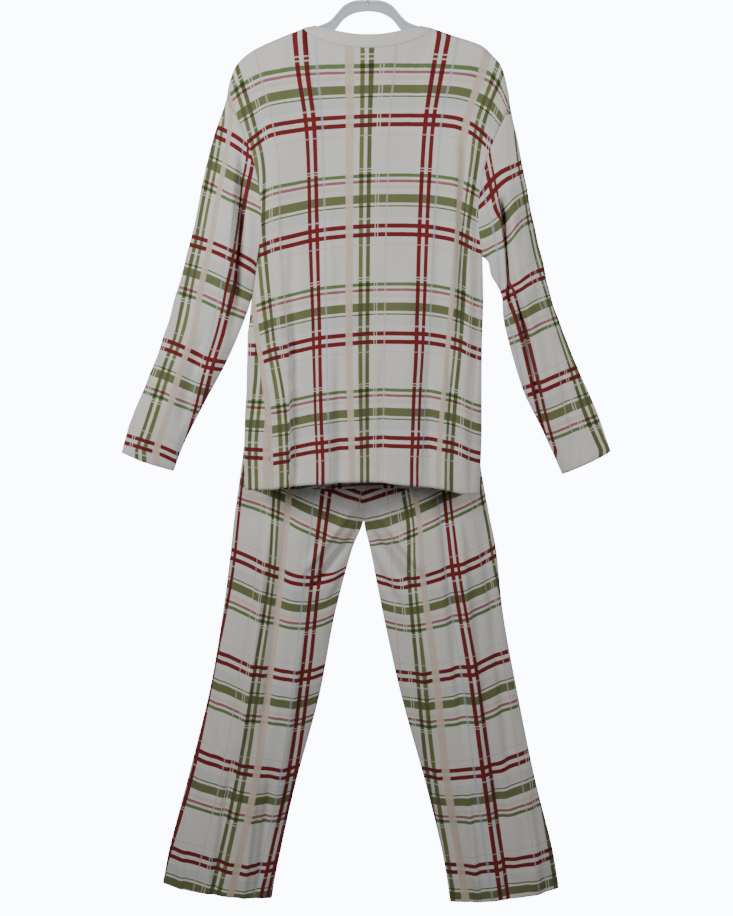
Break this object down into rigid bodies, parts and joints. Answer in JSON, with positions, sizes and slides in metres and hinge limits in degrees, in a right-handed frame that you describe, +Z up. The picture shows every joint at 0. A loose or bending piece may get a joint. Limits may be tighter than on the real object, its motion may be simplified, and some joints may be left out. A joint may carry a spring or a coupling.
{
  "type": "long-sleeved pyjama set on a clear plastic clothes hanger",
  "caption": "Women's plaid jersey pyjama set seen from the back: long-sleeved top with a cream neckband on a clear hanger, matching trousers pinned behind it.",
  "frame": {"origin": "the top of the inside of the hanger's hook, where it hangs on a rail", "axes": "+Z up; the back of the top faces -Y and its front faces +Y, with the trousers on the +Y side; the wearer's left is -X"},
  "size_m": [0.76, 0.1358, 1.5186],
  "materials": {
    "plaid_jersey": "matte knit printed with a plaid of red, green, olive, peach and pale blue",
    "rib": "matte cream rib knit",
    "clear_plastic": "clear moulded plastic, polished",
    "steel": "bright drawn wire"
  },
  "bodies": {
    "root": {"top_back": "plaid_jersey", "top_front": "plaid_jersey", "sleeve_left": "plaid_jersey", "sleeve_right": "plaid_jersey", "neckband": "rib", "trousers_left_back": "plaid_jersey", "trousers_left_front": "plaid_jersey", "trousers_right_back": "plaid_jersey", "trousers_right_front": "plaid_jersey", "waistband": "plaid_jersey", "hanger": "clear_plastic", "hanger_hook": "steel", "pin_left": "steel", "pin_right": "steel"}
  },
  "joints": []
}
